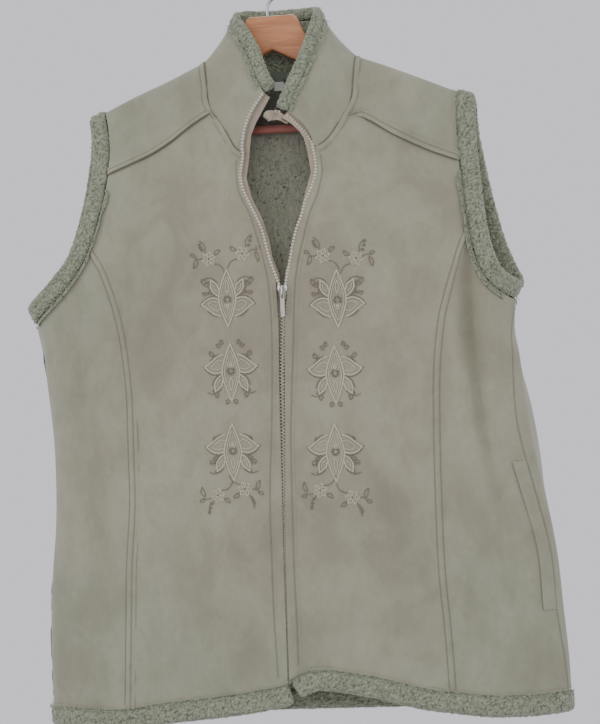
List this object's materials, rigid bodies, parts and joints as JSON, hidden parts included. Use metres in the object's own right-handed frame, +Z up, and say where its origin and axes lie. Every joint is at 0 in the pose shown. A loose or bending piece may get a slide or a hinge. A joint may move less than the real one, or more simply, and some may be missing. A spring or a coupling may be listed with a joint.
{
  "type": "gilet on a hanger",
  "caption": "Faux suede gilet with fleece edges, stand collar, zip front and tonal embroidery, hanging half open at the neck on a wooden hanger.",
  "frame": {"origin": "top inside of the hanger hook's crook, where the rail touches it", "axes": "+Z up, front faces -Y, +X towards the right of someone who looks at the front"},
  "size_m": [0.5742, 0.0972, 0.8192],
  "materials": {
    "suede": "brushed faux suede, matt",
    "fleece": "curly pile",
    "tape": "woven tape",
    "zip_metal": "off-white lacquered metal",
    "label": "blank woven tab",
    "hanger_wood": "lacquered, satin",
    "hanger_bar": "stained, satin",
    "hanger_wire": "bright wire"
  },
  "bodies": {
    "gilet": {"armhole_trim_left": "fleece", "armhole_trim_right": "fleece", "back": "suede", "collar": "suede", "collar_trim": "fleece", "front_left": "suede", "front_right": "suede", "hanger_bar": "hanger_bar", "hanger_hook": "hanger_wire", "hanger_wood": "hanger_wood", "hem_trim": "fleece", "neck_label": "label", "pocket_welt_left": "suede", "pocket_welt_right": "suede", "side_front_left": "suede", "side_front_right": "suede", "yoke_left": "suede", "yoke_right": "suede", "zip_slider": "zip_metal", "zip_tape_left": "tape", "zip_tape_right": "tape"},
    "pull_tab": {"zip_pull": "zip_metal"}
  },
  "joints": [
    {"name": "pull_tab_swing", "type": "hinge", "parent": "gilet", "child": "pull_tab", "pos_m": [0.00895, -0.054, -0.3565], "axis": [-1, 0, 0], "range_deg": [0, 150]}
  ]
}
